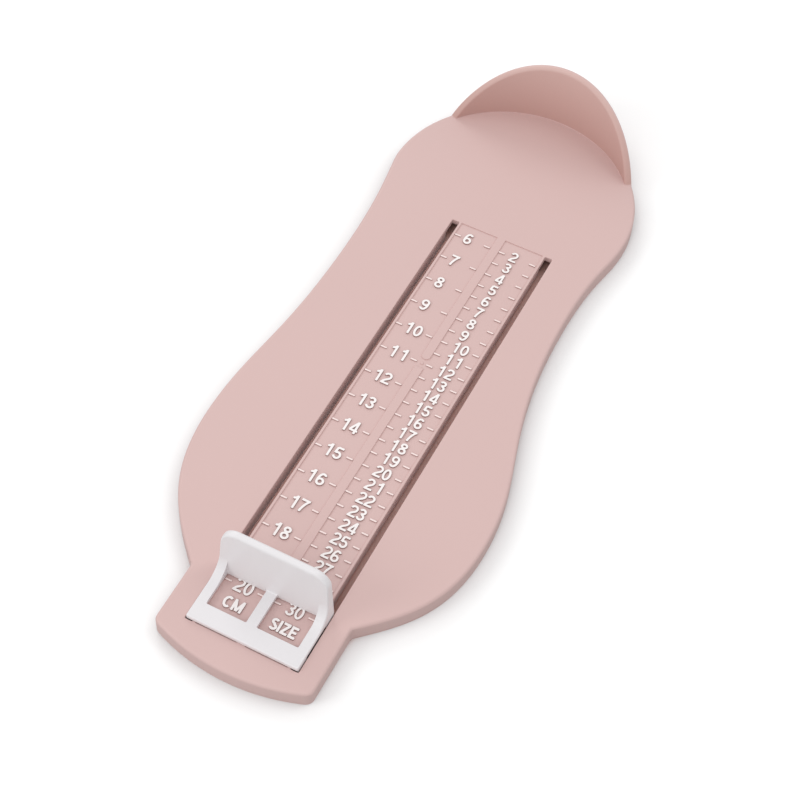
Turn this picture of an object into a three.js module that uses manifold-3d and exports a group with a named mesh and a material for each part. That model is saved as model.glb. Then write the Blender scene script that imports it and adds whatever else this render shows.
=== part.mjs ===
// Foot measuring device: a moulded sole-shaped plate with a heel cup and two rows of length marks,
// and a white toe slider that snaps into two slots and runs along the marks.
// Millimetres, +Z up. The toe end points along -Y and the heel wall stands at the +Y end.
// Shapes are drawn about the scale's zero: the inside of the heel wall is y = 0 and the plate's
// top is z = 0. The last lines move the whole part so that it stands on z = 0.

import * as THREE from "three";
import { mergeVertices } from "three/addons/utils/BufferGeometryUtils.js";
import Module from "manifold-3d";

const wasm = await Module();
wasm.setup();

// Driving dimensions: the scale
const cmPitch = 10; // one centimetre
const firstCm = 6;
const lastCm = 20;
const sizePitch = 5; // one shoe size is half a centimetre
const sizeMarks = 29; // sizes 2 to 30
const slotLead = 5.1; // from the slots' heel end to the first mark
const slotTail = 15.4; // from the last mark to the slots' toe end
const markThick = 0.55;
const markLong = 2.1;
const markHigh = 0.34;
const markSoft = 0.12; // rounding of a mark's top
const markAtRimLeft = 0.05; // from the columns' edges to the marks
const markAtBarLeft = 0.25;
const markAtBarRight = 0.05;
const markAtRimRight = 0.3;
const panelDepth = 0.35; // the two number columns lie this much lower
const panelSoft = 0.14; // rounding of the columns' edges
const panelCorner = 0.2;
const dividerLeft = 1.55; // the bar between the columns, left and right of the middle
const dividerRight = 1.15;
const railWide = 0.8; // raised rim beside each slot
const dividerGapAt = 108.3; // the bar stops here and starts again after dividerGap
const dividerGap = 3.4;
const gateRadius = 0.45; // mark left by the moulding gate, in the bar's gap
const gateHigh = 0.25;

// Driving dimensions: strip and slots
const stripWide = 29.4;
const slotWide = 2.4;
const stripRib = 1.5; // rib under each edge of the strip, which the slider's hooks catch
const slotRib = 1.6; // wall round the slots on the plate's side
const slotSoft = 0.25; // rounding of the slots' upper edges
const slotCorner = 0.35;

// Driving dimensions: plate
const plateHeight = 5.6;
const plateSkin = 1.8;
const skirtWall = 2.0;
const edgeRadius = 1.0;
const footSoft = 0.35; // slope on the skirt's lower edge
const ribThick = 1.2;
const ribLift = 0.9; // the cross ribs stay this far above the table
const ribPitch = 36;
const heelRadius = 39.8;
const heelX = -5.6; // the heel lies left of the scale's middle, as a left foot's does
const waistLeft = 41.5;
const waistRight = 30.4;
const waistAt = 83;
const waistRightAt = 75;
const ballLeft = 46.6;
const ballRight = 43.3;
const ballAt = 151;
const ballRightAt = 156;
const shoulderAt = 200.4; // where the sole's left side meets the toe tongue
const shoulderRightAt = 197.6;
const shoulderFillet = 1.6;
const tongueSide = 6.6; // from the slot's outer wall to the tongue's edge
const tongueEnd = 9.0; // from the slots' toe end to the tongue's tip
const tongueX = -0.5; // the tongue lies a little left of the scale's middle
const toeRadius = 60;
const toeCorner = 2.6;

// How far each curve of the sole's side keeps its direction at its ends, as a share of its length
const heelPullLeft = 0.12;
const heelPullRight = 0.3;
const waistPullUp = 0.62;
const waistPullDown = 0.56;
const ballPullUp = 0.33;
const ballPullDown = 0.54;
const shoulderPullX = 0.55;
const shoulderPullY = 0.25;

// Driving dimensions: heel cup
const cupHeight = 21.5;
const cupHalfWide = 32.2; // where the rim runs down into the plate, left and right of the heel
const cupWall = 2.4;
const cupRound = 1.1; // rounding of the rim
const cupFillet = 0.5;
const cupSink = 0.02; // the fillet ends this far inside the plate
const heelStep = Math.PI / 72; // the cup's sections and the sole's outline share their places

// Driving dimensions: toe slider
const sliderLong = 19.8;
const sliderThick = 1.25;
const sliderLift = 0.15; // running gap over the strip
const sideGap = 0.25; // between the slider and the slots' outer walls
const stopHeight = 18.8; // top of the toe stop above the slider's underside
const stopDraft = 0.02; // the stop narrows upwards by this share on each side
const stopFoot = 3.7; // the stop's thickness at its foot and at its top
const stopTop = 2.3;
const stopCorner = 4.6;
const stopFillet = 6.2; // hollow curve between the stop and the frame's side bars
const centreFillet = 0.5; // the same at the bar between the windows
const sliderRound = 0.45;
const stopRound = 1.0;
const frontBar = 5.3;
const centreBar = 3.1;
const centreBarX = -0.2;
const sideBar = 2.95;
const windowCorner = 0.4;
const windowLedge = 0.1; // between a window and the side bar's hollow curve
const legGap = 0.2; // between a leg and the strip
const legFlex = 1.0; // room outside a leg, so that it can spring out when the slider is fitted
const legLong = 9;
const legNotch = 0.8; // cut beside each leg, which frees it to bend
const skirtDepth = 1.1; // the rest of the slider's side reaches this far into the slot
const hookReach = 0.8;
const hookHigh = 0.9;
const hookGap = 0.2;
const hookLead = 0.5; // slope on the hook's lower edge
const tableGap = 0.6; // between the hooks and the table
const endGap = 0.35; // between the slider and the slots' ends

// Sizes worked out from these
const stripHalf = stripWide / 2;
const slotOuter = stripHalf + slotWide;
const firstMark = firstCm * cmPitch;
const lastMark = lastCm * cmPitch;
const slotStart = firstMark - slotLead;
const slotEnd = lastMark + slotTail;
const tongueHalf = slotOuter + tongueSide;
const tipAt = slotEnd + tongueEnd;
const heelAt = heelRadius - cupWall; // centre of the heel's curve, so that its inside touches y = 0
const hookTop = tableGap + hookHigh - plateHeight;
const stripRibBottom = hookTop + hookGap;
const sliderHalf = slotOuter - sideGap;
const windowSide = sliderHalf - sideBar;
const legOuter = slotOuter - legFlex;
const sliderFront = slotEnd - endGap;
const sliderBack = sliderFront - sliderLong;
const rim = stripHalf - railWide;
const outside = 2 * ballAt; // longer than anything that a cut has to pass through
const quarter = Math.PI / 2;

// Solids and booleans

function solid(geometry) {
  const bare = new THREE.BufferGeometry();
  bare.setAttribute("position", geometry.getAttribute("position"));
  if (geometry.index) bare.setIndex(geometry.index);
  const merged = mergeVertices(bare, 1e-5);
  return new wasm.Manifold(
    new wasm.Mesh({
      numProp: 3,
      vertProperties: merged.attributes.position.array,
      triVerts: new Uint32Array(merged.index.array),
    }),
  );
}

function geometryOf(made) {
  const mesh = made.getMesh();
  const geometry = new THREE.BufferGeometry();
  geometry.setAttribute("position", new THREE.BufferAttribute(mesh.vertProperties, 3));
  geometry.setIndex(new THREE.BufferAttribute(mesh.triVerts, 1));
  const flat = geometry.toNonIndexed();
  flat.computeVertexNormals();
  return flat;
}

function box(x0, x1, y0, y1, z0, z1) {
  const made = new THREE.BoxGeometry(x1 - x0, y1 - y0, z1 - z0);
  return solid(made.translate((x0 + x1) / 2, (y0 + y1) / 2, (z0 + z1) / 2));
}

// Joins rings of equally many points into one closed solid, with a flat cap on each end. The
// rings may come from either end: they are taken the other way where the faces point inwards.
function loft(rings) {
  const count = rings[0].length;
  const positions = rings.flat().flatMap((p) => [p.x, p.y, p.z]);
  const faces = [];
  for (let ring = 0; ring + 1 < rings.length; ring++) {
    for (let i = 0; i < count; i++) {
      const j = (i + 1) % count;
      const a = ring * count + i;
      const b = ring * count + j;
      faces.push(a, b, b + count, a, b + count, a + count);
    }
  }
  const last = (rings.length - 1) * count;
  for (const [i, j, k] of capTriangles(rings[0])) faces.push(k, j, i);
  for (const [i, j, k] of capTriangles(rings[rings.length - 1])) {
    faces.push(last + i, last + j, last + k);
  }
  const geometry = new THREE.BufferGeometry();
  geometry.setAttribute("position", new THREE.Float32BufferAttribute(positions, 3));
  geometry.setIndex(faces);
  const made = solid(geometry);
  return made.volume() < 0 ? loft([...rings].reverse()) : made;
}

// Triangles of a flat ring, wound like the ring itself.
function capTriangles(ring) {
  const normal = new THREE.Vector3();
  ring.forEach((p, i) => {
    const q = ring[(i + 1) % ring.length];
    normal.add(new THREE.Vector3().crossVectors(p, q));
  });
  normal.normalize();
  const turn = new THREE.Quaternion().setFromUnitVectors(normal, new THREE.Vector3(0, 0, 1));
  const flat = ring.map((p) => {
    const q = p.clone().applyQuaternion(turn);
    return new THREE.Vector2(q.x, q.y);
  });
  return THREE.ShapeUtils.triangulateShape(flat, []);
}

// Moves each point of a closed, anticlockwise outline inwards by a distance, or outwards by a
// negative one.
function inset(points, distance) {
  return points.map((p, i) => {
    const before = points[(i + points.length - 1) % points.length];
    const after = points[(i + 1) % points.length];
    const a = p.clone().sub(before).normalize();
    const b = after.clone().sub(p).normalize();
    const inward = new THREE.Vector2(-a.y - b.y, a.x + b.x).normalize();
    const share = Math.max(inward.dot(new THREE.Vector2(-a.y, a.x)), 0.5);
    return p.clone().addScaledVector(inward, distance / share);
  });
}

function level(points, z) {
  return points.map((p) => new THREE.Vector3(p.x, p.y, z));
}

// A straight-sided solid over an outline.
function prism(points, z0, z1) {
  return loft([level(points, z0), level(points, z1)]);
}

// The points of several curves that follow each other round a closed outline.
function outlineOf(pieces) {
  const points = [];
  for (const [curve, steps] of pieces) {
    for (const p of curve.getPoints(steps)) {
      const near = points.length && points[points.length - 1].distanceTo(p) < 1e-6;
      if (!near) points.push(p);
    }
  }
  if (points[0].distanceTo(points[points.length - 1]) < 1e-6) points.pop();
  return points;
}

function arc(x, y, radius, from, to) {
  const clockwise = to < from;
  return new THREE.EllipseCurve(x, y, radius, radius, from, to, clockwise);
}

function bezier(...xy) {
  const [a, b, c, d] = xy.map(([x, y]) => new THREE.Vector2(x, y));
  return new THREE.CubicBezierCurve(a, b, c, d);
}

function rectangle(x0, x1, y0, y1, corner) {
  const centres = [
    [x0 + corner, y0 + corner],
    [x1 - corner, y0 + corner],
    [x1 - corner, y1 - corner],
    [x0 + corner, y1 - corner],
  ];
  return outlineOf(
    centres.map(([x, y], i) => {
      const from = (i + 2) * quarter;
      return [arc(x, y, corner, from, from + quarter), 3];
    }),
  );
}

// The steps of a rounded upper edge: how far each lies in from the side and below the top.
function roundedEdge(radius, steps) {
  const edge = [];
  for (let i = 0; i <= steps; i++) {
    const a = quarter * (i / steps);
    edge.push([radius * (1 - Math.cos(a)), radius * (1 - Math.sin(a))]);
  }
  return edge;
}

// A block over an outline, with its upper edge rounded.
function raisedRings(points, low, high, soft, steps) {
  const edge = roundedEdge(soft, steps);
  const rings = edge.map(([inwards, down]) => level(inset(points, inwards), high - down));
  return [level(points, low), ...rings];
}

function raised(...block) {
  return loft(raisedRings(...block));
}

// A cutter over an outline, which leaves the upper edge of its hole in the plate rounded.
function sunk(points, low, soft) {
  const edge = roundedEdge(soft, 2);
  const rings = edge.map(([outwards, down]) => level(inset(points, -outwards), -down));
  return loft([level(points, low), ...rings, level(inset(points, -soft), plateHeight)]);
}

// Sole outline, anticlockwise from the heel's right side: round the heel, down the left side
// past waist and ball, round the toe tongue and back up the right side.

function shoulder(side, curveEnd, direction) {
  const turn = quarter - Math.atan2(-direction.y, Math.abs(direction.x));
  const back = shoulderFillet * Math.tan(turn / 2);
  const start = curveEnd.clone().addScaledVector(direction, -back);
  const x = tongueX + side * (tongueHalf + shoulderFillet);
  return { start, centre: new THREE.Vector2(x, curveEnd.y - back), turn };
}

function sideCurves(side, heelPull, waistX, waistY, ballX, ballY, shoulderY) {
  const heelSide = heelX + side * heelRadius;
  const end = new THREE.Vector2(tongueX + side * tongueHalf, -shoulderY);
  const toWaist = waistY - heelAt;
  const toBall = ballY - waistY;
  const toShoulder = shoulderY - ballY;
  const handleX = end.x + (side * ballX - end.x) * shoulderPullX;
  const handle = new THREE.Vector2(handleX, end.y + toShoulder * shoulderPullY);
  const corner = shoulder(side, end, end.clone().sub(handle).normalize());
  const heelToWaist = bezier(
    [heelSide, -heelAt],
    [heelSide, -heelAt - heelPull * toWaist],
    [side * waistX, -waistY + waistPullUp * toWaist],
    [side * waistX, -waistY],
  );
  const waistToBall = bezier(
    [side * waistX, -waistY],
    [side * waistX, -waistY - waistPullDown * toBall],
    [side * ballX, -ballY + ballPullUp * toBall],
    [side * ballX, -ballY],
  );
  const ballToToe = bezier(
    [side * ballX, -ballY],
    [side * ballX, -ballY - ballPullDown * toShoulder],
    [handle.x, handle.y],
    [corner.start.x, corner.start.y],
  );
  const { x, y } = corner.centre;
  const filletEnd = side < 0 ? 0 : Math.PI;
  const fillet = arc(x, y, shoulderFillet, filletEnd - side * corner.turn, filletEnd);
  return { heelToWaist, waistToBall, ballToToe, fillet };
}

const leftPlaces = [waistLeft, waistAt, ballLeft, ballAt, shoulderAt];
const rightPlaces = [waistRight, waistRightAt, ballRight, ballRightAt, shoulderRightAt];
const leftSide = sideCurves(-1, heelPullLeft, ...leftPlaces);
const rightSide = sideCurves(1, heelPullRight, ...rightPlaces);

function backwards(curve) {
  return { getPoints: (steps) => curve.getPoints(steps).reverse() };
}

function toeCurves() {
  const inner = toeRadius - toeCorner;
  const centreY = -tipAt + toeRadius;
  const cornerX = tongueHalf - toeCorner;
  const lean = Math.asin(cornerX / inner);
  const cornerY = centreY - inner * Math.cos(lean);
  return [
    [arc(tongueX - cornerX, cornerY, toeCorner, Math.PI, Math.PI + quarter - lean), 6],
    [arc(tongueX, centreY, toeRadius, -quarter - lean, -quarter + lean), 18],
    [arc(tongueX + cornerX, cornerY, toeCorner, -quarter + lean, 0), 6],
  ];
}

const soleOutline = outlineOf([
  [arc(heelX, -heelAt, heelRadius, 0, Math.PI), Math.round(Math.PI / heelStep)],
  [leftSide.heelToWaist, 15],
  [leftSide.waistToBall, 20],
  [leftSide.ballToToe, 18],
  [leftSide.fillet, 4],
  ...toeCurves(),
  [backwards(rightSide.fillet), 4],
  [backwards(rightSide.ballToToe), 18],
  [backwards(rightSide.waistToBall), 20],
  [backwards(rightSide.heelToWaist), 15],
]);

// Base plate

function plateSlab() {
  const foot = level(inset(soleOutline, footSoft), -plateHeight);
  const edge = roundedEdge(edgeRadius, 5);
  const rings = edge.map(([inwards, down]) => level(inset(soleOutline, inwards), -down));
  return loft([foot, level(soleOutline, footSoft - plateHeight), ...rings]);
}

// Height of the cup's rim above the plate, at a distance from the heel's middle: the rim is
// cut to an arc, seen from the toe end.
function rimHeight(across) {
  const radius = (cupHalfWide ** 2 + cupHeight ** 2) / (2 * cupHeight);
  return Math.sqrt(Math.max(radius ** 2 - across ** 2, 0)) - (radius - cupHeight);
}

// One section of the heel cup, as distance in from the outline and height.
function cupSection(top) {
  const shoulderZ = top - cupRound;
  const root = edgeRadius - plateHeight;
  const section = [
    [0, root],
    [cupWall + cupFillet, root],
  ];
  const least = 0.1; // height kept for the fillet where the rim runs down into the plate
  const free = Math.min(cupFillet, Math.max(shoulderZ - least, least));
  const foot = Math.min(-cupSink, shoulderZ - free - least);
  for (const [up, inwards] of roundedEdge(free, 4)) section.push([cupWall + inwards, foot + up]);
  const crown = roundedEdge(cupRound, 5);
  for (const [inwards, down] of crown) section.push([cupWall - inwards, top - down]);
  for (const [inwards, down] of crown.reverse()) section.push([inwards, top - down]);
  return section;
}

function heelCup() {
  const reach = Math.ceil(Math.asin(cupHalfWide / heelRadius) / heelStep);
  const rings = [];
  for (let i = -reach; i <= reach; i++) {
    const a = i * heelStep;
    const section = cupSection(rimHeight(heelRadius * Math.sin(a)));
    rings.push(
      section.map(([inwards, z]) => {
        const r = heelRadius - inwards;
        return new THREE.Vector3(heelX + r * Math.sin(a), -heelAt + r * Math.cos(a), z);
      }),
    );
  }
  return loft(rings);
}

// Slots, columns and marks

function slots() {
  const left = rectangle(-slotOuter, -stripHalf, -slotEnd, -slotStart, slotCorner);
  const right = rectangle(stripHalf, slotOuter, -slotEnd, -slotStart, slotCorner);
  return sunk(left, -outside, slotSoft).add(sunk(right, -outside, slotSoft));
}

// The bar between the columns is broken once: its upper piece ends in a half round, and the gap
// shows the gate's mark.
function divider() {
  const half = (dividerLeft + dividerRight) / 2;
  const middle = (dividerRight - dividerLeft) / 2;
  const low = -plateSkin / 2;
  const over = 1; // into the plate at both ends of the columns
  const upper = outlineOf([[arc(middle, -dividerGapAt + half, half, Math.PI, 2 * Math.PI), 12]]);
  upper.push(new THREE.Vector2(dividerRight, -slotStart + over));
  upper.push(new THREE.Vector2(-dividerLeft, -slotStart + over));
  const lowerStart = -dividerGapAt - dividerGap;
  const lower = rectangle(-dividerLeft, dividerRight, -slotEnd - over, lowerStart, panelCorner);
  const gateY = -dividerGapAt - dividerGap / 2;
  const gate = outlineOf([[arc(middle, gateY, gateRadius, 0, 2 * Math.PI), 12]]);
  const pieces = [upper, lower].map((points) => {
    const above = level(inset(points, panelSoft), outside);
    return loft([...raisedRings(points, low, 0, panelSoft, 2), above]);
  });
  return wasm.Manifold.union([...pieces, raised(gate, low, gateHigh - panelDepth, markSoft, 1)]);
}

// Both columns in one cut, which leaves the bar between them standing.
function columns() {
  const outline = rectangle(-rim, rim, -slotEnd, -slotStart, panelCorner);
  return sunk(outline, -panelDepth, panelSoft).subtract(divider());
}

function marks() {
  const high = markHigh - panelDepth;
  const mark = (x, y) => {
    const outline = rectangle(x, x + markLong, y - markThick / 2, y + markThick / 2, 0);
    return raised(outline, -plateSkin / 2, high, markSoft, 1);
  };
  const pieces = [];
  for (let cm = firstCm; cm <= lastCm; cm++) {
    pieces.push(mark(-rim + markAtRimLeft, -cm * cmPitch));
    pieces.push(mark(-dividerLeft - markAtBarLeft - markLong, -cm * cmPitch));
  }
  for (let size = 0; size < sizeMarks; size++) {
    const y = -firstMark - size * sizePitch;
    pieces.push(mark(dividerRight + markAtBarRight, y));
    pieces.push(mark(rim - markAtRimRight - markLong, y));
  }
  return wasm.Manifold.union(pieces);
}

// Underside

// The middles of the cross ribs, along Y.
function crossRibs() {
  const places = [];
  for (let y = slotStart + ribPitch / 2; y < slotEnd - ribPitch / 3; y += ribPitch) places.push(-y);
  return places;
}

// The hollow round the slots, with its ribs left standing. It runs on into the slots' heel ends.
function outerHollow() {
  const frame = slotOuter + slotRib;
  const half = ribThick / 2;
  const low = ribLift - plateHeight;
  const kept = [
    box(-frame, frame, -slotEnd - slotRib, -slotStart, -outside, outside),
    box(heelX - half, heelX + half, -slotStart, outside, low, 0),
    ...crossRibs().map((y) => box(-outside, outside, y - half, y + half, low, 0)),
  ];
  const hollow = prism(inset(soleOutline, skirtWall), -outside, -plateSkin);
  return hollow.subtract(wasm.Manifold.union(kept));
}

// The hollow under the strip: open from rib to rib, and cut back below the ribs for the hooks. It
// reaches a little into the hollow under the heel.
function stripHollow() {
  const inner = stripHalf - stripRib;
  const half = ribThick / 2;
  const end = -slotStart + slotRib;
  const kept = crossRibs().map((y) => {
    return box(-inner, inner, y - half, y + half, stripRibBottom, 0);
  });
  return box(-inner, inner, -slotEnd, end, -outside, -plateSkin)
    .subtract(wasm.Manifold.union(kept))
    .add(box(-stripHalf, stripHalf, -slotEnd, end, -outside, stripRibBottom));
}

function basePlate() {
  return plateSlab()
    .add(heelCup())
    .subtract(outerHollow())
    .subtract(stripHollow())
    .subtract(slots())
    .subtract(columns())
    .add(marks());
}

// Toe slider

// One section of the slider across its length, with its edges drawn in by a distance: front bar,
// hollow curve up to the toe stop, rounded top and straight back.
function sliderSection(x, drawnIn, stopZ) {
  const low = sliderLift;
  const top = low + sliderThick - drawnIn;
  const front = -sliderFront + drawnIn;
  const back = -sliderBack - drawnIn;
  const section = [[back, low], [front, low]];
  for (const [inwards, down] of roundedEdge(sliderRound, 3)) {
    section.push([front + inwards, top - down]);
  }
  const lean = (stopFoot - stopTop) / (stopHeight - sliderThick);
  const face = (z) => -sliderBack - stopFoot + lean * (z - low - sliderThick) + drawnIn;
  const fillet = Math.abs(x) < windowSide + windowLedge ? centreFillet : stopFillet;
  const rise = top + fillet;
  for (const [up, inwards] of roundedEdge(fillet, 9)) {
    section.push([face(rise) - inwards, top + up]);
  }
  const least = 0.05; // half of the flat left on top where the stop's corners run out
  const crown = Math.min(stopRound, (back - face(stopZ)) / 2 - least);
  const edge = roundedEdge(crown, 4);
  for (const [inwards, down] of edge) section.push([face(stopZ - crown) + inwards, stopZ - down]);
  for (const [inwards, down] of edge.reverse()) section.push([back - inwards, stopZ - down]);
  return section.map(([y, z]) => {
    const draft = (stopDraft * Math.max(z - top, 0)) / sliderHalf;
    return new THREE.Vector3(x * (1 - draft), y, z);
  });
}

// The sections' places from the middle outwards: a pair at the windows' edge, where the big
// hollow curve begins, then close together round the stop's corner and round the slider's end.
function sliderStations() {
  const step = 0.04; // width of the wall between the two curves
  const wall = windowSide + windowLedge;
  const stations = [0, wall - step, wall];
  for (const [inwards] of roundedEdge(stopCorner, 12)) {
    const x = sliderHalf - stopCorner + inwards;
    if (x < sliderHalf - sliderRound - step) stations.push(x);
  }
  for (const [inwards] of roundedEdge(sliderRound, 5)) {
    stations.push(sliderHalf - sliderRound + inwards);
  }
  stations.sort((a, b) => a - b);
  const left = stations.slice(1).reverse().map((x) => -x);
  return [...left, ...stations];
}

function sliderBody() {
  const rings = sliderStations().map((x) => {
    const across = Math.abs(x);
    const intoCorner = Math.max(across - (sliderHalf - stopCorner), 0);
    const intoEnd = Math.max(across - (sliderHalf - sliderRound), 0);
    const drop = stopCorner - Math.sqrt(Math.max(stopCorner ** 2 - intoCorner ** 2, 0));
    const drawnIn = sliderRound - Math.sqrt(Math.max(sliderRound ** 2 - intoEnd ** 2, 0));
    return sliderSection(x, drawnIn, sliderLift + stopHeight - drop);
  });
  return loft(rings);
}

function sliderWindows() {
  const front = -sliderFront + frontBar;
  const back = -sliderBack - stopFoot;
  const barLeft = centreBarX - centreBar / 2;
  const barRight = centreBarX + centreBar / 2;
  const left = rectangle(-windowSide, barLeft, front, back, windowCorner);
  const right = rectangle(barRight, windowSide, front, back, windowCorner);
  return prism(left, -outside, outside).add(prism(right, -outside, outside));
}

// Side skirt in the slot: one piece before the snap leg and one behind it, with room for the leg
// to bend.
function sideSkirt(side) {
  const inner = stripHalf + legGap;
  const x0 = Math.min(side * inner, side * sliderHalf);
  const x1 = Math.max(side * inner, side * sliderHalf);
  const middle = -(sliderFront + sliderBack) / 2;
  const half = legLong / 2 + legNotch;
  const top = sliderLift + sliderThick / 2;
  const before = box(x0, x1, -sliderFront + sliderRound, middle - half, -skirtDepth, top);
  return before.add(box(x0, x1, middle + half, -sliderBack - sliderRound, -skirtDepth, top));
}

// Snap leg: it passes down through the slot and hooks inwards under the strip's rib.
function snapLeg(side) {
  const inner = stripHalf + legGap;
  const nose = inner - hookReach;
  const low = hookTop - hookHigh;
  const top = sliderLift + sliderThick / 2;
  const profile = [
    [inner, top],
    [inner, hookTop],
    [nose, hookTop],
    [nose, low + hookLead],
    [nose + hookLead, low],
    [legOuter, low],
    [legOuter, top],
  ];
  const middle = -(sliderFront + sliderBack) / 2;
  const ends = [middle - legLong / 2, middle + legLong / 2];
  const rings = ends.map((y) => profile.map(([x, z]) => new THREE.Vector3(side * x, y, z)));
  return loft(rings);
}

function toeSlider() {
  let slider = sliderBody().subtract(sliderWindows());
  for (const side of [-1, 1]) slider = slider.add(sideSkirt(side)).add(snapLeg(side));
  return slider;
}

// The part

const basePlastic = new THREE.MeshStandardMaterial({
  color: 0xdcb9b3,
  roughness: 0.5,
  metalness: 0,
});
const sliderPlastic = new THREE.MeshStandardMaterial({
  color: 0xf0f0f2,
  roughness: 0.38,
  metalness: 0,
});

function named(name, made, material) {
  const mesh = new THREE.Mesh(geometryOf(made), material);
  mesh.name = name;
  return mesh;
}

const aboutScale = new THREE.Group();
aboutScale.add(named("base_plate", basePlate(), basePlastic));
aboutScale.add(named("toe_slider", toeSlider(), sliderPlastic));

// The origin is under the middle of the part, on the table.
const reach = new THREE.Box3().setFromObject(aboutScale);
const middle = reach.getCenter(new THREE.Vector3());
aboutScale.position.set(-middle.x, -middle.y, -reach.min.z);

const group = new THREE.Group();
group.add(aboutScale);

export default group;
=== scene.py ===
import math

import bmesh
import bpy
from mathutils import Matrix, Quaternion, Vector

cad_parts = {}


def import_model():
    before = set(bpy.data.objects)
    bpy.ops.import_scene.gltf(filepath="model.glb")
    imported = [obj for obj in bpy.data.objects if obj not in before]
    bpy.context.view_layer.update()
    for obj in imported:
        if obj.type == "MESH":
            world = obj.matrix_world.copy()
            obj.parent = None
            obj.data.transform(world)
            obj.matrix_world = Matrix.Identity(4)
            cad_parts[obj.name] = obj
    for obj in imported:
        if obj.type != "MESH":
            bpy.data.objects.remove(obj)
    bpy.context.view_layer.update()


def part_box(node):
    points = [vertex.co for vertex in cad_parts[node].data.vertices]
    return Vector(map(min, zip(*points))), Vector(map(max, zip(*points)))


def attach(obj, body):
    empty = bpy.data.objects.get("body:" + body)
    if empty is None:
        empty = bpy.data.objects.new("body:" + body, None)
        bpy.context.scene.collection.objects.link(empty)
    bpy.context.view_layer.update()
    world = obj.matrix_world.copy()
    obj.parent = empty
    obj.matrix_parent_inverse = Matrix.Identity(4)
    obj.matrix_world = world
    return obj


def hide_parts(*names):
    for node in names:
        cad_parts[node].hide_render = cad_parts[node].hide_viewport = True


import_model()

# Looks of a foot measuring device. Lengths are in millimetres about the scale's zero: the inside
# of the heel wall is y = 0, the plate's top is z = 0 and the toe end points along -Y. to_frame
# turns them into metres in the row frame.

MM = 0.001

# Scale
cm_pitch = 10.0
first_cm = 6
last_cm = 20
size_pitch = 5.0
first_size = 2
last_size = 30
slot_lead = 5.1
slot_tail = 15.4
panel_depth = 0.35
panel_soft = 0.14
panel_corner = 0.2
divider_left = 1.55
divider_right = 1.15
divider_gap_at = 108.3
divider_gap = 3.4
divider_root = 0.2
divider_corner = 0.15
rail_wide = 0.8
gate_radius = 0.45
gate_high = 0.25
gate_soft = 0.1

# Strip and slots. Under the plate the slots' walls end slot_open before the slots' heel ends.
strip_wide = 29.4
slot_wide = 2.4
strip_rib = 1.5
slot_rib = 1.6
slot_open = 4.5
slot_soft = 0.25
slot_corner = 0.35

# Plate
plate_height = 5.6
plate_skin = 1.8
skirt_wall = 2.0
edge_radius = 1.0
foot_soft = 0.35
rib_thick = 1.2
rib_lift = 0.9
rib_pitch = 36.0
strip_rib_bottom = -3.9
heel_radius = 39.8
heel_x = -5.6
heel_pull_left = 0.12
heel_pull_right = 0.3
waist_pull_up = 0.62
waist_pull_down = 0.56
ball_pull_up = 0.33
ball_pull_down = 0.54
shoulder_pull_x = 0.552
shoulder_pull_y = 0.25
waist_left = 41.5
waist_right = 30.4
waist_at = 83.0
waist_right_at = 75.0
ball_left = 46.6
ball_right = 43.3
ball_at = 151.0
ball_right_at = 156.0
shoulder_at = 200.4
shoulder_right_at = 197.6
shoulder_fillet = 1.6
tongue_side = 6.6
tongue_end = 9.0
tongue_x = -0.5
toe_radius = 60.0
toe_corner = 2.6

# Heel cup
cup_height = 21.5
cup_half_wide = 32.2
cup_wall = 2.4
cup_flare = 0.5
cup_round = 1.1
cup_fillet = 0.06
# cup_foot is the height above the plate over which the cup wall's painted shade fades in.
cup_foot = 0.4

# Raised marks and numbers
mark_thick = 0.55
mark_long = 2.1
mark_high = 0.34
mark_soft = 0.12
mark_corner = 0.2
mark_root = 0.1
mark_at_rim_left = 0.05
mark_at_rim_right = 0.3
mark_at_bar_left = 0.25
mark_at_bar_right = 0.05
number_high = 0.45
print_depth = 0.09
number_cm = 4.4
number_size = 4.1
label_high = 3.6
stroke_share = 0.188
label_stroke = 0.245
cell_share = 0.605
number_cm_x = -10.6
number_size_x = 5.1
label_cm_x = -10.8
label_size_x = 3.5
label_y = -205.9
letter_gap = 0.02
one_shift = 0.135
stroke_end = 0.25
stroke_end_share = 0.8

# Toe slider
slider_long = 20.0
slider_thick = 1.25
slider_lift = 0.15
side_gap = 0.25
stop_height = 18.8
stop_draft = 0.065
stop_foot = 3.35
stop_top = 2.3
stop_corner = 5.0
stop_fillet = 6.2
slider_round = 0.45
stop_round = 1.0
front_bar = 5.5
centre_bar = 3.1
centre_bar_x = -0.2
centre_fillet = 0.5
side_bar = 2.95
window_corner = 0.4
window_ledge = 0.1
leg_gap = 0.2
leg_flex = 1.0
leg_long = 9.0
leg_notch = 0.8
skirt_depth = 1.1
hook_reach = 0.8
hook_high = 0.9
hook_lead = 0.5
table_gap = 0.6
end_gap = 0.15

# Steps that curves are made in, and small lengths that only the making needs
heel_steps = 36
waist_steps = 48
ball_steps = 42
shoulder_steps = 8
toe_corner_steps = 12
toe_steps = 40
bar_steps = 20
edge_steps = 8
slider_steps = 6
stop_fillet_steps = 16
stop_corner_steps = 20
slider_end_steps = 8
fillet_change = 0.04
least = 0.1
least_crown = 0.05
least_share = 0.5
same_point = 1e-6
over = 1.0
hollow_over = 0.5
hollow_short = 0.3

# Worked out from these
strip_half = strip_wide / 2
slot_outer = strip_half + slot_wide
first_mark = first_cm * cm_pitch
last_mark = last_cm * cm_pitch
slot_start = first_mark - slot_lead
slot_end = last_mark + slot_tail
tongue_half = slot_outer + tongue_side
tip_at = slot_end + tongue_end
heel_at = heel_radius - cup_wall
slider_half = slot_outer - side_gap
window_side = slider_half - side_bar
leg_outer = slot_outer - leg_flex
slider_front = slot_end - end_gap
slider_back = slider_front - slider_long
rim = strip_half - rail_wide
outside = 2 * ball_at
heel_step = math.radians(1.875)
quarter = math.pi / 2

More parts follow.
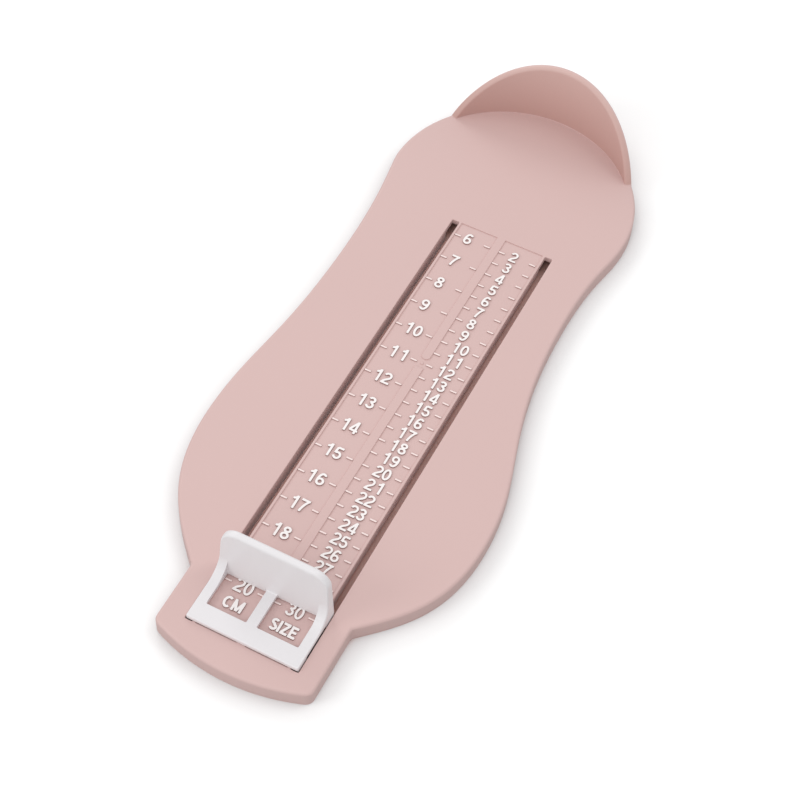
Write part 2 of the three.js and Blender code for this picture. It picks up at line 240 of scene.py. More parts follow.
low_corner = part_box("base_plate")[0]
origin = low_corner - Vector((-ball_left, -tip_at, -plate_height)) * MM
to_frame = Matrix.Translation(origin) @ Matrix.Scale(MM, 4)


# Curves in the plane, as lists of points

def arc(x, y, radius, start, end, steps):
    turns = [start + (end - start) * i / steps for i in range(steps + 1)]
    return [Vector((x + radius * math.cos(t), y + radius * math.sin(t))) for t in turns]


def bezier(a, b, c, d, steps):
    points = []
    for i in range(steps + 1):
        t = i / steps
        s = 1 - t
        share = (s * s * s, 3 * s * s * t, 3 * s * t * t, t * t * t)
        x = sum(w * p[0] for w, p in zip(share, (a, b, c, d)))
        y = sum(w * p[1] for w, p in zip(share, (a, b, c, d)))
        points.append(Vector((x, y)))
    return points


def closed(*curves):
    """One closed outline from curves that follow each other."""
    points = []
    for p in (p for curve in curves for p in curve):
        if not points or (points[-1] - p).length > same_point:
            points.append(p)
    if (points[0] - points[-1]).length < same_point:
        points.pop()
    return points


def inset(points, distance):
    """Moves each point of an anticlockwise outline inwards, or outwards if distance is negative."""
    moved = []
    for i, p in enumerate(points):
        a = (p - points[i - 1]).normalized()
        b = (points[(i + 1) % len(points)] - p).normalized()
        inward = Vector((-a.y - b.y, a.x + b.x)).normalized()
        share = max(inward.dot(Vector((-a.y, a.x))), least_share)
        moved.append(p + inward * (distance / share))
    return moved


def rectangle(x0, x1, y0, y1, corner=0.0, steps=4):
    if corner == 0:
        return [Vector((x0, y0)), Vector((x1, y0)), Vector((x1, y1)), Vector((x0, y1))]
    x0, x1, y0, y1 = x0 + corner, x1 - corner, y0 + corner, y1 - corner
    return closed(
        arc(x0, y0, corner, math.pi, math.pi * 1.5, steps),
        arc(x1, y0, corner, -quarter, 0, steps),
        arc(x1, y1, corner, 0, quarter, steps),
        arc(x0, y1, corner, quarter, math.pi, steps),
    )


# Solids

def from_bmesh(bm, name):
    mesh = bpy.data.meshes.new(name)
    bm.to_mesh(mesh)
    bm.free()
    made = bpy.data.objects.new(name, mesh)
    bpy.context.scene.collection.objects.link(made)
    return made


def level(points, z):
    return [Vector((p.x, p.y, z)) for p in points]


def loft(rings, looped=False):
    """A closed solid through rings of equally many points, or round them if it is looped."""
    bm = bmesh.new()
    made = [[bm.verts.new(p) for p in ring] for ring in rings]
    count = len(rings[0])
    following = made[1:] + made[:1] if looped else made[1:]
    for lower, upper in zip(made, following):
        for i in range(count):
            j = (i + 1) % count
            bm.faces.new((lower[i], lower[j], upper[j], upper[i]))
    if not looped:
        bm.faces.new(made[0][::-1])
        bm.faces.new(made[-1])
    bmesh.ops.recalc_face_normals(bm, faces=bm.faces)
    return from_bmesh(bm, "solid")


def box(x0, x1, y0, y1, z0, z1):
    outline = rectangle(x0, x1, y0, y1)
    return loft([level(outline, z0), level(outline, z1)])


def raised(outline, low, high, soft, steps=4):
    """A block over an outline, with its upper edge rounded."""
    rings = [level(outline, low)]
    for i in range(steps + 1):
        a = quarter * i / steps
        z = high - soft * (1 - math.sin(a))
        rings.append(level(inset(outline, soft * (1 - math.cos(a))), z))
    return loft(rings)


def sunk(outline, low, high, soft, steps=4):
    """A cutter over an outline that leaves the upper edge of its hole rounded."""
    rings = [level(outline, low)]
    for i in range(steps + 1):
        a = quarter * i / steps
        z = high - soft * (1 - math.sin(a))
        rings.append(level(inset(outline, -soft * (1 - math.cos(a))), z))
    rings.append(level(inset(outline, -soft), high + over))
    return loft(rings)


def combined(made, others, operation):
    """The solid made, joined with or cut by the others, which are used up."""
    for other in others:
        boolean = made.modifiers.new("boolean", "BOOLEAN")
        boolean.operation = operation
        boolean.object = other
        boolean.solver = "EXACT"
    settled = made.evaluated_get(bpy.context.evaluated_depsgraph_get())
    mesh = bpy.data.meshes.new_from_object(settled)
    made.modifiers.clear()
    made.data = mesh
    for other in others:
        bpy.data.objects.remove(other)
    return made


def joined(made):
    """Solids that don't touch, as one object."""
    bm = bmesh.new()
    for other in made:
        bm.from_mesh(other.data)
        bpy.data.objects.remove(other)
    return from_bmesh(bm, "joined")


# Base plate

def shoulder(side, curve_end, direction):
    turn = quarter - math.atan2(-direction.y, abs(direction.x))
    back = shoulder_fillet * math.tan(turn / 2)
    start = curve_end - direction * back
    centre = Vector((tongue_x + side * (tongue_half + shoulder_fillet), curve_end.y - back))
    return start, centre, turn


def side_curve(side, heel_pull, waist_x, waist_y, ball_x, ball_y, shoulder_y):
    """From the heel's side down past waist and ball to the toe tongue."""
    heel = Vector((heel_x + side * heel_radius, -heel_at))
    end = Vector((tongue_x + side * tongue_half, -shoulder_y))
    to_shoulder = shoulder_y - ball_y
    pull = (side * ball_x - end.x) * shoulder_pull_x
    handle = Vector((end.x + pull, end.y + to_shoulder * shoulder_pull_y))
    start, centre, turn = shoulder(side, end, (end - handle).normalized())
    to_waist = waist_y - heel_at
    to_ball = ball_y - waist_y
    waist = Vector((side * waist_x, -waist_y))
    ball = Vector((side * ball_x, -ball_y))

    def up(share, length):
        return Vector((0, share * length))

    heel_out = heel - up(heel_pull, to_waist)
    waist_in = waist + up(waist_pull_up, to_waist)
    waist_out = waist - up(waist_pull_down, to_ball)
    ball_in = ball + up(ball_pull_up, to_ball)
    ball_out = ball - up(ball_pull_down, to_shoulder)
    fillet_to = 0 if side < 0 else math.pi
    turns = (fillet_to - side * turn, fillet_to)
    fillet = arc(centre.x, centre.y, shoulder_fillet, *turns, shoulder_steps)
    return closed(
        bezier(heel, heel_out, waist_in, waist, heel_steps),
        bezier(waist, waist_out, ball_in, ball, waist_steps),
        bezier(ball, ball_out, handle, start, ball_steps),
        fillet,
    ) + [fillet[-1]]


def toe_curve():
    inner = toe_radius - toe_corner
    centre_y = -tip_at + toe_radius
    corner_x = tongue_half - toe_corner
    lean = math.asin(corner_x / inner)
    corner_y = centre_y - inner * math.cos(lean)
    left, right = -quarter - lean, -quarter + lean
    return closed(
        arc(tongue_x - corner_x, corner_y, toe_corner, -math.pi, left, toe_corner_steps),
        arc(tongue_x, centre_y, toe_radius, left, right, toe_steps),
        arc(tongue_x + corner_x, corner_y, toe_corner, right, 0, toe_corner_steps),
    )


def sole_outline():
    left = side_curve(-1, heel_pull_left, waist_left, waist_at, ball_left, ball_at, shoulder_at)
    places = (waist_right, waist_right_at, ball_right, ball_right_at, shoulder_right_at)
    right = side_curve(1, heel_pull_right, *places)
    heel = arc(heel_x, -heel_at, heel_radius, 0, math.pi, round(math.pi / heel_step))
    return closed(heel, left, toe_curve(), right[::-1])


def plate_slab(outline):
    rings = [level(inset(outline, foot_soft), -plate_height)]
    rings.append(level(outline, -plate_height + foot_soft))
    for i in range(edge_steps + 1):
        a = quarter * i / edge_steps
        z = edge_radius * (math.sin(a) - 1)
        rings.append(level(inset(outline, edge_radius * (1 - math.cos(a))), z))
    return loft(rings)


def rim_height(across):
    radius = (cup_half_wide**2 + cup_height**2) / (2 * cup_height)
    return math.sqrt(max(radius**2 - across**2, 0)) - (radius - cup_height)


def cup_section(top):
    """One section of the heel cup, as distance in from the outline and height."""
    shoulder_z = top - cup_round
    root = edge_radius - plate_height
    section = [(0, root), (cup_wall + cup_fillet, root)]
    free = min(cup_fillet, max(shoulder_z - least, least))
    foot = min(0, shoulder_z - free - least)
    turns = [quarter * i / edge_steps for i in range(edge_steps + 1)]
    for a in turns:
        section.append((cup_wall + free * (1 - math.sin(a)), foot + free * (1 - math.cos(a))))
    for a in turns:
        inwards = cup_wall - cup_round * (1 - math.cos(a))
        section.append((inwards, shoulder_z + cup_round * math.sin(a)))
    for a in turns:
        section.append((cup_round * (1 - math.sin(a)), shoulder_z + cup_round * math.cos(a)))
    return section


def heel_cup():
    reach = math.ceil(math.asin(cup_half_wide / heel_radius) / heel_step)
    rings = []
    for k in range(-reach, reach + 1):
        a = -k * heel_step
        ring = []
        for inwards, z in cup_section(rim_height(heel_radius * math.sin(a))):
            r = heel_radius - inwards + cup_flare * max(z, 0) / cup_height
            ring.append(Vector((heel_x + r * math.sin(a), -heel_at + r * math.cos(a), z)))
        rings.append(ring)
    return loft(rings)


def slot_cutters():
    spans = ((-slot_outer, -strip_half), (strip_half, slot_outer))
    return [
        sunk(rectangle(x0, x1, -slot_end, -slot_start, slot_corner), -outside, 0, slot_soft)
        for x0, x1 in spans
    ]


def panel_cutter():
    outline = rectangle(-rim, rim, -slot_end, -slot_start, panel_corner)
    return sunk(outline, -panel_depth, 0, panel_soft)


def dividers():
    """The bar between the columns, broken once: its upper piece ends in a half round."""
    half = (divider_left + divider_right) / 2
    middle = (divider_right - divider_left) / 2
    low = -panel_depth - divider_root
    heel_end = -slot_start + over
    upper = closed(
        arc(middle, -divider_gap_at + half, half, math.pi, 2 * math.pi, bar_steps),
        [Vector((divider_right, heel_end)), Vector((-divider_left, heel_end))],
    )
    toe_end = -slot_end - over
    gap_end = -divider_gap_at - divider_gap
    lower = rectangle(-divider_left, divider_right, toe_end, gap_end, divider_corner)
    gate_y = -divider_gap_at - divider_gap / 2
    gate = arc(middle, gate_y, gate_radius, 0, 2 * math.pi, bar_steps)[:-1]
    return [
        raised(upper, low, 0, panel_soft),
        raised(lower, low, 0, panel_soft),
        raised(gate, low, gate_high - panel_depth, gate_soft),
    ]


def cross_ribs():
    """Where the ribs under the plate lie."""
    places = []
    y = slot_start + rib_pitch / 2
    while y < slot_end - rib_pitch / 3:
        places.append(-y)
        y += rib_pitch
    return places


def outer_hollow(outline):
    inner = inset(outline, skirt_wall)
    hollow = loft([level(inner, -outside), level(inner, -plate_skin)])
    frame_half = slot_outer + slot_rib
    half = rib_thick / 2
    rib_low = rib_lift - plate_height
    kept = [box(-frame_half, frame_half, -slot_end - slot_rib, -slot_start, -outside, outside)]
    kept += [box(-outside, outside, y - half, y + half, rib_low, 0) for y in cross_ribs()]
    kept.append(box(heel_x - half, heel_x + half, -slot_start, outside, rib_low, 0))
    return combined(hollow, kept, "DIFFERENCE")


def strip_hollow():
    """The hollow under the strip. It opens the walls beside the slots near their heel ends."""
    inner = strip_half - strip_rib
    half = rib_thick / 2
    end = -slot_start + slot_rib
    hollow = box(-inner, inner, -slot_end, end, -outside, -plate_skin)
    cut = inner + over
    kept = [box(-cut, cut, y - half, y + half, strip_rib_bottom, 0) for y in cross_ribs()]
    hollow = combined(hollow, kept, "DIFFERENCE")
    under = box(-strip_half, strip_half, -slot_end, end, -outside - over, strip_rib_bottom)
    wide = slot_outer + slot_rib + hollow_over
    start = -slot_start - slot_open
    opened = box(-wide, wide, start, end - hollow_short, -outside, -plate_skin)
    return combined(hollow, [under, opened], "UNION")


def base_shell():
    outline = sole_outline()
    made = combined(plate_slab(outline), [heel_cup()], "UNION")
    cutters = [outer_hollow(outline), strip_hollow(), panel_cutter(), *slot_cutters()]
    made = combined(made, cutters, "DIFFERENCE")
    return combined(made, dividers(), "UNION")


# Toe slider

def slider_section(x, drawn_in, stop_z):
    """One section of the slider along Y: front bar, hollow curve, rounded top, straight back."""
    low = slider_lift
    top = low + slider_thick - drawn_in
    front = -slider_front + drawn_in
    back = -slider_back - drawn_in
    soft = slider_round
    turns = [quarter * i / slider_steps for i in range(slider_steps + 1)]
    section = [(back, low), (front, low)]
    for a in turns:
        section.append((front + soft * (1 - math.cos(a)), top - soft * (1 - math.sin(a))))
    lean = (stop_foot - stop_top) / (stop_height - slider_thick)

    def face(z):
        return -slider_back - stop_foot + lean * (z - low - slider_thick) + drawn_in

    fillet = centre_fillet if abs(x) < window_side + window_ledge else stop_fillet
    rise = top + fillet
    for i in range(stop_fillet_steps + 1):
        a = quarter * i / stop_fillet_steps
        section.append((face(rise) - fillet * (1 - math.sin(a)), rise - fillet * math.cos(a)))
    crown = min(stop_round, (back - face(stop_z)) / 2 - least_crown)
    for a in turns:
        y = face(stop_z - crown) + crown * (1 - math.cos(a))
        section.append((y, stop_z - crown * (1 - math.sin(a))))
    for a in turns:
        section.append((back - crown * (1 - math.sin(a)), stop_z - crown * (1 - math.cos(a))))
    draft = stop_draft / slider_half
    return [Vector((x * (1 - draft * max(z - top, 0)), y, z)) for y, z in section]


def slider_stations():
    """Where sections are taken along X: close together where the hollow curve begins, round the
    stop's corners and at the ends."""
    wall = window_side + window_ledge
    stations = [0.0, wall - fillet_change, wall]
    for i in range(stop_corner_steps):
        x = slider_half - stop_corner * (1 - math.sin(quarter * i / stop_corner_steps))
        if x < slider_half - slider_round - fillet_change:
            stations.append(x)
    for i in range(slider_end_steps + 1):
        turn = math.sin(quarter * i / slider_end_steps)
        stations.append(slider_half - slider_round * (1 - turn))
    stations.sort()
    return [-x for x in stations[:0:-1]] + stations


def slider_body():
    rings = []
    for x in slider_stations():
        into_corner = max(abs(x) - (slider_half - stop_corner), 0)
        into_end = max(abs(x) - (slider_half - slider_round), 0)
        drop = stop_corner - math.sqrt(max(stop_corner**2 - into_corner**2, 0))
        drawn_in = slider_round - math.sqrt(max(slider_round**2 - into_end**2, 0))
        rings.append(slider_section(x, drawn_in, slider_lift + stop_height - drop))
    return loft(rings)


def slider_windows():
    front = -slider_front + front_bar
    back = -slider_back - stop_foot
    low = slider_lift - over
    bar_left = centre_bar_x - centre_bar / 2
    bar_right = centre_bar_x + centre_bar / 2
    spans = ((-window_side, bar_left), (bar_right, window_side))
    return [
        loft([level(rectangle(x0, x1, front, back, window_corner), z) for z in (low, outside)])
        for x0, x1 in spans
    ]


def side_skirts(side):
    inner = strip_half + leg_gap
    x0, x1 = sorted((side * inner, side * slider_half))
    middle = -(slider_front + slider_back) / 2
    top = slider_lift + slider_thick / 2
    half = leg_long / 2 + leg_notch
    spans = (
        (-slider_front + slider_round, middle - half),
        (middle + half, -slider_back - slider_round),
    )
    return [box(x0, x1, y0, y1, -skirt_depth, top) for y0, y1 in spans]


def snap_leg(side):
    inner = strip_half + leg_gap
    nose = inner - hook_reach
    hook_top = table_gap + hook_high - plate_height
    low = hook_top - hook_high
    top = slider_lift + slider_thick / 2
    profile = [
        (inner, top),
        (inner, hook_top),
        (nose, hook_top),
        (nose, low + hook_lead),
        (nose + hook_lead, low),
        (leg_outer, low),
        (leg_outer, top),
    ]
    middle = -(slider_front + slider_back) / 2
    ends = (middle - leg_long / 2, middle + leg_long / 2)
    return loft([[Vector((side * x, y, z)) for x, z in profile] for y in ends])


def toe_stop():
    body = combined(slider_body(), slider_windows(), "DIFFERENCE")
    hidden = [piece for side in (-1, 1) for piece in (*side_skirts(side), snap_leg(side))]
    return combined(body, hidden, "UNION")


# Numbers and letters, as strokes about their own height

def ellipse(x, y, wide, high, start, end, steps=18):
    turns = [math.radians(start + (end - start) * i / steps) for i in range(steps + 1)]
    return [Vector((x + wide * math.cos(t), y + high * math.sin(t))) for t in turns]


def stroke(*points):
    return [Vector(p) for p in points]


edge = stroke_share / 2
top_line = 1 - edge
centre_line = cell_share / 2
bowl = centre_line - edge

six = [
    ellipse(centre_line, 0.31, bowl, 0.31 - edge, 0, 360, 28),
    ellipse(centre_line + 0.02, 0.42, bowl + 0.02, top_line - 0.42, 195, 90)
    + ellipse(centre_line + 0.02, top_line - 0.17, bowl - 0.025, 0.17, 90, 18, 8)[1:],
]
nine = [[Vector((cell_share - p.x, 1 - p.y)) for p in line] for line in six]

glyphs = {
    "0": [ellipse(centre_line, 0.5, bowl, 0.5 - edge, 0, 360, 32)],
    "1": [
        stroke((0.35, 0), (0.35, 1)),
        bezier((0.075, 0.76), (0.2, 0.76), (0.29, 0.83), (0.325, 0.98), 8),
    ],
    "2": [
        ellipse(centre_line, 0.7, bowl, 0.3 - edge, 172, -20)
        + bezier((0.49, 0.6), (0.43, 0.42), (0.13, 0.36), (0.1, 0.1), 10),
        stroke((0.01, edge), (0.59, edge)),
    ],
    "3": [
        ellipse(0.29, 0.735, 0.185, 0.265 - edge, 165, -90),
        ellipse(0.29, 0.295, bowl, 0.295 - edge, 90, -168),
        stroke((0.22, 0.553), (0.31, 0.553)),
    ],
    "4": [
        stroke((0.43, 0), (0.43, 1)),
        stroke((0.405, 0.96), (0.06, 0.3)),
        stroke((0.01, 0.265), (0.6, 0.265)),
    ],
    "5": [
        stroke((0.15, top_line), (0.55, top_line)),
        stroke((0.155, top_line), (0.1, 0.46)),
        ellipse(centre_line - 0.01, 0.325, bowl, 0.325 - edge, 142, -162),
    ],
    "6": six,
    "7": [
        stroke((0.01, top_line), (0.595, top_line)),
        bezier((0.51, top_line), (0.38, 0.72), (0.24, 0.42), (0.2, 0), 10),
    ],
    "8": [
        ellipse(centre_line, 0.745, bowl - 0.03, 0.255 - edge, 0, 360, 28),
        ellipse(centre_line, 0.29, bowl, 0.29 - edge, 0, 360, 28),
    ],
    "9": nine,
    "C": [ellipse(0.37, 0.5, 0.37 - edge, 0.5 - edge, 48, 312, 28)],
    "M": [
        stroke((edge, 0), (edge, 1)),
        stroke((edge, 0.97), (0.42, 0.06)),
        stroke((0.42, 0.06), (0.84 - edge, 0.97)),
        stroke((0.84 - edge, 0), (0.84 - edge, 1)),
    ],
    "S": [
        ellipse(0.31, 0.73, 0.2, 0.27 - edge, 28, 270)
        + ellipse(0.31, 0.275, 0.215, 0.275 - edge, 90, -155)[1:],
    ],
    "I": [stroke((edge, 0), (edge, 1))],
    "Z": [
        stroke((0.02, top_line), (0.58, top_line)),
        stroke((0.52, top_line), (0.08, edge)),
        stroke((0.01, edge), (0.6, edge)),
    ],
    "E": [
        stroke((edge, 0), (edge, 1)),
        stroke((0, top_line), (0.55, top_line)),
        stroke((0, 0.51), (0.51, 0.51)),
        stroke((0, edge), (0.56, edge)),
    ],
}
advances = {"C": 0.79, "M": 0.92, "S": 0.66, "I": 0.27, "Z": 0.68, "E": 0.6}


# A stroke's section, as shares of its half width and of its height
ridge_section = [
    (-1, 0), (-1, 0.6), (-0.93, 0.82), (-0.74, 1), (0.74, 1), (0.93, 0.82), (1, 0.6), (1, 0),
]


def ridge(points, height, share):
    """One stroke of a number as a raised ridge with soft edges, about the number's own corner."""
    wide = share * height / 2
    path = [p * height for p in points]
    loop = (path[0] - path[-1]).length < same_point
    if loop:
        path.pop()
    low = -panel_depth - mark_root
    high = number_high - panel_depth
    rings = []
    for i, p in enumerate(path):
        before = path[i - 1] if i or loop else p
        after = path[(i + 1) % len(path)] if i + 1 < len(path) or loop else p
        along = (after - before).normalized()
        across = Vector((-along.y, along.x))
        rings.append((p, along, across))
    if not loop:
        soft = stroke_end * wide
        narrow = stroke_end_share
        p, along, across = rings[0]
        rings[:1] = [(p, along, across * narrow), (p + along * soft, along, across)]
        p, along, across = rings[-1]
        rings[-1:] = [(p - along * soft, along, across), (p, along, across * narrow)]
    sections = [
        [Vector((*(p + across * (wide * s)), low + (high - low) * t)) for s, t in ridge_section]
        for p, along, across in rings
    ]
    return loft(sections, loop)


def glyph_mesh(name, height, share):
    lines = [ridge(points, height, share) for points in glyphs[name]]
    made = combined(lines[0], lines[1:], "UNION") if lines[1:] else lines[0]
    mesh = made.data
    bpy.data.objects.remove(made)
    return mesh


def written(texts, height, share=stroke_share):
    """Texts on the plate: each is its letters, its left edge and its middle in Y."""
    meshes = {}
    bm = bmesh.new()
    for text, x, y in texts:
        for place, letter in enumerate(text):
            if letter not in meshes:
                meshes[letter] = glyph_mesh(letter, height, share)
            shift = one_shift * height if letter == "1" and place == 1 else 0
            copy = meshes[letter].copy()
            copy.transform(Matrix.Translation((x + shift, y - height / 2, 0)))
            bm.from_mesh(copy)
            bpy.data.meshes.remove(copy)
            x += advances.get(letter, cell_share + letter_gap) * height
    return from_bmesh(bm, "texts")


def cm_numbers():
    places = range(first_cm, last_cm + 1)
    return written([(str(n), number_cm_x, -n * cm_pitch) for n in places], number_cm)


def size_numbers():
    texts = []
    for n in range(first_size, last_size + 1):
        texts.append((str(n), number_size_x, -first_mark - (n - first_size) * size_pitch))
    return written(texts, number_size)


def labels():
    texts = [("CM", label_cm_x, label_y), ("SIZE", label_size_x, label_y)]
    return written(texts, label_high, label_stroke)


def tick_marks():
    low = -panel_depth - mark_root
    high = mark_high - panel_depth
    half = mark_thick / 2
    marks = []

    def mark(x, y):
        outline = rectangle(x, x + mark_long, y - half, y + half, mark_corner, 3)
        marks.append(raised(outline, low, high, mark_soft, 3))

    for n in range(first_cm, last_cm + 1):
        mark(-rim + mark_at_rim_left, -n * cm_pitch)
        mark(-divider_left - mark_long - mark_at_bar_left, -n * cm_pitch)
    for n in range(last_size - first_size + 1):
        y = -first_mark - n * size_pitch
        mark(divider_right + mark_at_bar_right, y)
        mark(rim - mark_long - mark_at_rim_right, y)
    return joined(marks)


# Materials

def srgb(red, green, blue):
    """A colour given as 0 to 255 per channel, as linear light."""
    def linear(value):
        share = value / 255
        return share / 12.92 if share <= 0.04045 else ((share + 0.055) / 1.055) ** 2.4
    return (linear(red), linear(green), linear(blue), 1)


drift_scale = 28
drift_detail = 4
gloss_scale = 180
gloss_detail = 3
gloss_spread = 0.05
grain_detail = 5
grain_depth = 0.02
inward_turn = 0.3


def plastic(name, colours, roughness, grain, bump, wall=None, side=None, height=0):
    """Moulded plastic: slow colour drift, uneven gloss and a fine eroded grain. The heel cup's
    inner wall, where it faces the toe, gets painted shade: a deeper pink at its foot that grows
    lighter towards its rim. A raised mark of the height is printed on its top only, and its
    unprinted sides get a darker pink, the plastic with painted shade."""
    material = bpy.data.materials.new(name)
    material.use_nodes = True
    nodes = material.node_tree.nodes
    links = material.node_tree.links
    shader = nodes["Principled BSDF"]
    place = nodes.new("ShaderNodeTexCoord")

    def noise(scale, detail):
        made = nodes.new("ShaderNodeTexNoise")
        made.inputs["Scale"].default_value = scale
        made.inputs["Detail"].default_value = detail
        links.new(place.outputs["Object"], made.inputs["Vector"])
        return made.outputs["Fac"]

    def along(output, axis):
        made = nodes.new("ShaderNodeSeparateXYZ")
        links.new(place.outputs[output], made.inputs["Vector"])
        return made.outputs[axis]

    def mapped(value, low, high, to_low=0, to_high=1):
        made = nodes.new("ShaderNodeMapRange")
        made.inputs["From Min"].default_value = low
        made.inputs["From Max"].default_value = high
        made.inputs["To Min"].default_value = to_low
        made.inputs["To Max"].default_value = to_high
        links.new(value, made.inputs["Value"])
        return made.outputs["Result"]

    def mixed(first, second, factor):
        """Mixes two colours, each given as a value or as the output of a node."""
        made = nodes.new("ShaderNodeMix")
        made.data_type = "RGBA"
        for socket, colour in (("A", first), ("B", second)):
            if isinstance(colour, tuple):
                made.inputs[socket].default_value = colour
            else:
                links.new(colour, made.inputs[socket])
        links.new(factor, made.inputs["Factor"])
        return made.outputs["Result"]

    colour = mixed(*colours, noise(drift_scale, drift_detail))
    # Painted shade: the heel cup's inner wall, where it faces the toe, is darkened from just above
    # the plate, most at its foot and less towards its rim.
    if wall:
        z = along("Object", "Z")
        climb = mapped(z, origin.z, origin.z + cup_height * MM)
        inner = nodes.new("ShaderNodeMath")
        inner.operation = "MULTIPLY"
        links.new(mapped(z, origin.z, origin.z + cup_foot * MM), inner.inputs[0])
        links.new(mapped(along("Normal", "Y"), inward_turn, -inward_turn), inner.inputs[1])
        colour = mixed(colour, mixed(*wall, climb), inner.outputs["Value"])
    # Painted shade: below the printed top, the sides of a raised mark take a darker pink than the
    # plate.
    if side:
        top = origin.z + (height - panel_depth) * MM
        z = along("Object", "Z")
        printed = mapped(z, top - print_depth * MM, top - print_depth / 2 * MM)
        colour = mixed(side, colour, printed)
    links.new(colour, shader.inputs["Base Color"])
    gloss = noise(gloss_scale, gloss_detail)
    spread = mapped(gloss, 0, 1, roughness - gloss_spread, roughness + gloss_spread)
    links.new(spread, shader.inputs["Roughness"])
    fine = nodes.new("ShaderNodeBump")
    fine.inputs["Strength"].default_value = bump
    fine.inputs["Distance"].default_value = grain_depth * MM
    links.new(noise(grain, grain_detail), fine.inputs["Height"])
    links.new(fine.outputs["Normal"], shader.inputs["Normal"])
    return material


pinks = (srgb(215, 184, 180), srgb(213, 182, 178))
# Painted shade for the heel cup's inner wall: a deep pink at its foot and a lighter one at its rim.
cup_shade_pinks = (srgb(197, 158, 150), srgb(216, 182, 175))
whites = (srgb(235, 232, 234), srgb(232, 229, 231))
number_whites = (srgb(251, 247, 246), srgb(247, 240, 238))
mark_whites = (srgb(250, 232, 229), srgb(244, 222, 218))
# Darker pinks for the unprinted sides of numbers and ticks: the plastic with painted shade.
number_side_shade = srgb(152, 118, 113)
mark_side_shade = srgb(165, 131, 126)
base_plastic = plastic("base_plastic", pinks, 0.5, 3200, 0.35, wall=cup_shade_pinks)
slider_plastic = plastic("slider_plastic", whites, 0.34, 1800, 0.12)
number_print = plastic(
    "number_print", number_whites, 0.42, 4200, 0.25, side=number_side_shade, height=number_high
)
mark_print = plastic("mark_print", mark_whites, 0.45, 4200, 0.25, side=mark_side_shade, height=mark_high)


# Pieces

weld_distance = 0.0005
sharp_angle = 32


def finished(made, name, material, body, slot, *nodes):
    """Puts a finished piece in the row frame, shades it and lets it ride on its body."""
    made.name = name
    made.data.name = name
    made.data.transform(to_frame)
    bm = bmesh.new()
    bm.from_mesh(made.data)
    bmesh.ops.remove_doubles(bm, verts=bm.verts, dist=weld_distance * MM)
    bm.to_mesh(made.data)
    bm.free()
    made.data.shade_smooth()
    made.data.set_sharp_from_angle(angle=math.radians(sharp_angle))
    even = made.modifiers.new("even_normals", "WEIGHTED_NORMAL")
    even.keep_sharp = True
    made.data.materials.clear()
    made.data.materials.append(material)
    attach(made, body)
    if nodes:
        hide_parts(*nodes)


finished(base_shell(), "base_shell", base_plastic, "base", "base_plastic", "base_plate")
finished(toe_stop(), "toe_stop", slider_plastic, "slider", "slider_plastic", "toe_slider")
finished(cm_numbers(), "cm_numbers", number_print, "base", "mark_print")
finished(size_numbers(), "size_numbers", number_print, "base", "mark_print")
finished(labels(), "column_labels", number_print, "base", "mark_print")
finished(tick_marks(), "tick_marks", mark_print, "base", "mark_print")


# Floor, light and camera

floor_half = 3.0
floor_true = 0.55
floor_seen = 1.05
# Painted shade on the floor for camera rays, from an occlusion node: a grey contact shade by the
# part's edge and a brown shade where the part covers it.
floor_contact_shade = (0.81, 0.83, 0.84, 1)
floor_shade_under = (0.75, 0.42, 0.36, 1)
cover_reach = 16
cover_samples = 12
covered_at = 0.28
contact_at = 0.44
open_at = 0.95
sky_strength = 0.68
lamp_size = 0.6
lamps = {
    "top_right": ((0.46, 0.46, 1.13), 1.45),
    "top_front": ((0, -0.65, 1.13), 1.75),
    "back_right": ((0.8, 0.8, 0.65), 1.25),
    "back_left": ((-0.8, 0.8, 0.65), 2.5),
    "front_left": ((-0.8, -0.8, 0.65), 2.6),
    "front": ((0, -1.13, 0.65), 1.2),
}
camera_azimuth = 23.981
camera_elevation = 53.847
camera_roll = 3.899
camera_target = (0.339, -125.116, 0)
camera_distance = 505.512
camera_lens = 78.8695
camera_sensor = 36
camera_near = 0.01


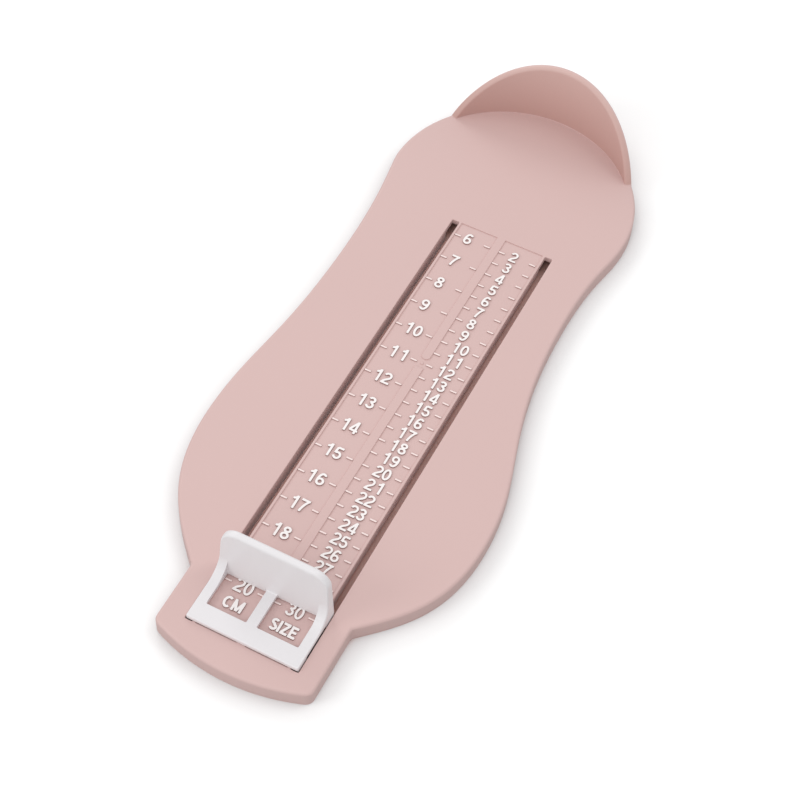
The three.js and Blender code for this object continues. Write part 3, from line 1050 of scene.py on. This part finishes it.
def floor():
    """The camera sees it white, with painted shade from an occlusion node: a grey contact shade
    where the part's edge stands on it and a brown shade where the part covers it. To light it is a
    pale grey."""
    bm = bmesh.new()
    corners = rectangle(-floor_half, floor_half, -floor_half, floor_half)
    bm.faces.new([bm.verts.new(p) for p in level(corners, 0)])
    made = from_bmesh(bm, "floor")
    material = bpy.data.materials.new("floor")
    material.use_nodes = True
    nodes = material.node_tree.nodes
    links = material.node_tree.links
    nodes.remove(nodes["Principled BSDF"])
    shader = nodes.new("ShaderNodeBsdfDiffuse")
    rays = nodes.new("ShaderNodeLightPath")
    # The occlusion node paints the floor's shade for the camera: brown where the part covers it,
    # grey by its edge, white in the open.
    cover = nodes.new("ShaderNodeAmbientOcclusion")
    cover.samples = cover_samples
    cover.inputs["Distance"].default_value = cover_reach * MM
    seen = nodes.new("ShaderNodeValToRGB")
    covered, open_floor = seen.color_ramp.elements
    covered.position = covered_at
    covered.color = floor_shade_under
    open_floor.position = open_at
    open_floor.color = (floor_seen, floor_seen, floor_seen, 1)
    seen.color_ramp.elements.new(contact_at).color = floor_contact_shade
    links.new(cover.outputs["AO"], seen.inputs["Fac"])
    colour = nodes.new("ShaderNodeMix")
    colour.data_type = "RGBA"
    colour.inputs["A"].default_value = (floor_true, floor_true, floor_true, 1)
    links.new(seen.outputs["Color"], colour.inputs["B"])
    links.new(rays.outputs["Is Camera Ray"], colour.inputs["Factor"])
    links.new(colour.outputs["Result"], shader.inputs["Color"])
    links.new(shader.outputs["BSDF"], nodes["Material Output"].inputs["Surface"])
    made.data.materials.append(material)


def world():
    made = bpy.data.worlds.new("studio")
    made.use_nodes = True
    nodes = made.node_tree.nodes
    links = made.node_tree.links
    sky = nodes["Background"]
    sky.inputs["Color"].default_value = (1, 1, 1, 1)
    rays = nodes.new("ShaderNodeLightPath")
    strength = nodes.new("ShaderNodeMix")
    strength.inputs["A"].default_value = sky_strength
    strength.inputs["B"].default_value = 1
    links.new(rays.outputs["Is Camera Ray"], strength.inputs["Factor"])
    links.new(strength.outputs["Result"], sky.inputs["Strength"])
    bpy.context.scene.world = made


def area_lamp(name, place, power):
    """A round soft lamp aimed at the part."""
    light = bpy.data.lights.new(name, "AREA")
    light.shape = "DISK"
    light.size = lamp_size
    light.energy = power
    lamp = bpy.data.objects.new(name, light)
    lamp.location = place
    lamp.rotation_mode = "QUATERNION"
    lamp.rotation_quaternion = (-Vector(place)).to_track_quat("-Z", "Y")
    bpy.context.scene.collection.objects.link(lamp)


def camera():
    azimuth = math.radians(camera_azimuth)
    elevation = math.radians(camera_elevation)
    roll = Quaternion((0, 0, 1), math.radians(camera_roll))
    back = Vector((
        math.sin(azimuth) * math.cos(elevation),
        -math.cos(azimuth) * math.cos(elevation),
        math.sin(elevation),
    ))
    data = bpy.data.cameras.new("camera")
    data.sensor_width = camera_sensor
    data.lens = camera_lens
    data.clip_start = camera_near
    made = bpy.data.objects.new("camera", data)
    made.location = to_frame @ Vector(camera_target) + back * (camera_distance * MM)
    made.rotation_mode = "QUATERNION"
    made.rotation_quaternion = (-back).to_track_quat("-Z", "Y") @ roll
    bpy.context.scene.collection.objects.link(made)
    bpy.context.scene.camera = made


floor()
world()
for name, (place, power) in lamps.items():
    area_lamp(name, place, power)
camera()
bpy.context.scene.view_settings.view_transform = "Standard"
